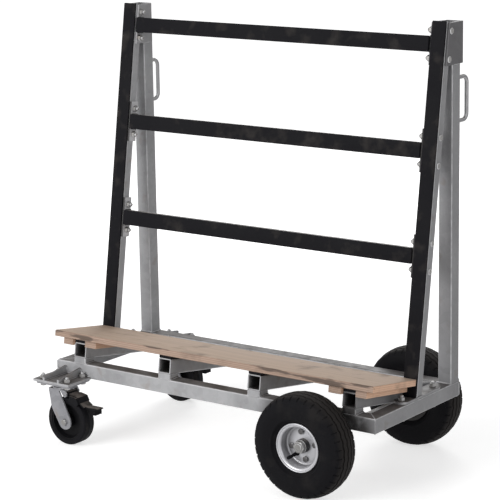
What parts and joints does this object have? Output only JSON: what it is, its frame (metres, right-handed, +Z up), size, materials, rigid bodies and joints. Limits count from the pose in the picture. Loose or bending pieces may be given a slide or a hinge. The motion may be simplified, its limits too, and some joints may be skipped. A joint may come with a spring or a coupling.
{
  "type": "glass cart",
  "caption": "Hand cart for sheet glass: raked rubber-faced rack over a plywood deck, on a tube base with pneumatic wheels at one end and braked swivel castors at the other.",
  "frame": {"origin": "on the floor under the middle of the base", "axes": "+Z up, +X along the cart towards the pneumatic wheels, +Y from the load side to the back"},
  "size_m": [0.992, 0.578, 1.0946],
  "materials": {
    "galvanised": "dull mottled hot-dip galvanising",
    "gusset_steel": "dull dark galvanised plate",
    "black_steel": "satin black paint",
    "black_rubber": "matt black rubber",
    "plywood": "raw site plywood with scuffs",
    "zinc_fasteners": "zinc plated",
    "tyre_rubber": "matt black tyre rubber",
    "rim_paint": "light grey satin paint",
    "castor_steel": "bright zinc with some wear",
    "castor_plastic": "matt black"
  },
  "bodies": {
    "frame": {"front_rail": "galvanised", "rear_rail": "galvanised", "left_end_rail": "galvanised", "right_end_rail": "galvanised", "support_arm_1": "galvanised", "support_arm_2": "galvanised", "support_arm_3": "galvanised", "support_arm_4": "galvanised", "arm_risers": "galvanised", "left_upright_post": "galvanised", "right_upright_post": "galvanised", "left_raked_post": "galvanised", "right_raked_post": "galvanised", "left_handle": "galvanised", "right_handle": "galvanised", "front_outrigger": "galvanised", "rear_outrigger": "galvanised", "foot_plates": "galvanised", "gusset_plates": "gusset_steel", "top_slat": "black_steel", "middle_slat": "black_steel", "bottom_slat": "black_steel", "slat_end_plates": "black_steel", "axle_hangers": "black_steel", "slat_rubbers": "black_rubber", "post_rubbers": "black_rubber", "arm_pads": "black_rubber", "deck_board": "plywood", "deck_cleats": "plywood", "frame_bolts": "zinc_fasteners", "axle": "zinc_fasteners", "axle_fixings": "zinc_fasteners", "castor_kingpins": "zinc_fasteners", "front_castor_plate": "castor_steel", "rear_castor_plate": "castor_steel"},
    "front_wheel": {"front_tyre": "tyre_rubber", "front_outer_rim": "rim_paint", "front_inner_rim": "rim_paint", "front_hub": "rim_paint", "front_rim_bolts": "zinc_fasteners"},
    "rear_wheel": {"rear_tyre": "tyre_rubber", "rear_outer_rim": "rim_paint", "rear_inner_rim": "rim_paint", "rear_hub": "rim_paint", "rear_rim_bolts": "zinc_fasteners"},
    "front_castor_fork": {"front_castor_fork": "castor_steel", "front_castor_ball_ring": "castor_steel", "front_castor_pins": "zinc_fasteners"},
    "front_castor_wheel": {"front_castor_core": "castor_plastic", "front_castor_tread": "black_rubber"},
    "front_castor_brake": {"front_castor_brake_lever": "black_steel", "front_castor_brake_pad": "castor_plastic"},
    "rear_castor_fork": {"rear_castor_fork": "castor_steel", "rear_castor_ball_ring": "castor_steel", "rear_castor_pins": "zinc_fasteners"},
    "rear_castor_wheel": {"rear_castor_core": "castor_plastic", "rear_castor_tread": "black_rubber"},
    "rear_castor_brake": {"rear_castor_brake_lever": "black_steel", "rear_castor_brake_pad": "castor_plastic"}
  },
  "joints": [
    {"name": "front_castor_swivel", "type": "hinge", "parent": "frame", "child": "front_castor_fork", "pos_m": [-0.435, -0.2305, 0.15], "axis": [0, 0, 1], "continuous": true},
    {"name": "front_castor_spin", "type": "hinge", "parent": "front_castor_fork", "child": "front_castor_wheel", "pos_m": [-0.412, -0.2305, 0.0625], "axis": [0, 1, 0], "continuous": true},
    {"name": "front_castor_brake_press", "type": "hinge", "parent": "front_castor_fork", "child": "front_castor_brake", "pos_m": [-0.40946, -0.2305, 0.13521], "axis": [0, 1, 0], "range_deg": [0, 4.5]},
    {"name": "rear_castor_swivel", "type": "hinge", "parent": "frame", "child": "rear_castor_fork", "pos_m": [-0.435, 0.2305, 0.15], "axis": [0, 0, 1], "continuous": true},
    {"name": "rear_castor_spin", "type": "hinge", "parent": "rear_castor_fork", "child": "rear_castor_wheel", "pos_m": [-0.412, 0.2305, 0.0625], "axis": [0, 1, 0], "continuous": true},
    {"name": "rear_castor_brake_press", "type": "hinge", "parent": "rear_castor_fork", "child": "rear_castor_brake", "pos_m": [-0.40946, 0.2305, 0.13521], "axis": [0, 1, 0], "range_deg": [0, 4.5]},
    {"name": "front_wheel_spin", "type": "hinge", "parent": "frame", "child": "front_wheel", "pos_m": [0.325, -0.2465, 0.128], "axis": [0, 1, 0], "continuous": true},
    {"name": "rear_wheel_spin", "type": "hinge", "parent": "frame", "child": "rear_wheel", "pos_m": [0.325, 0.2465, 0.128], "axis": [0, 1, 0], "continuous": true}
  ]
}
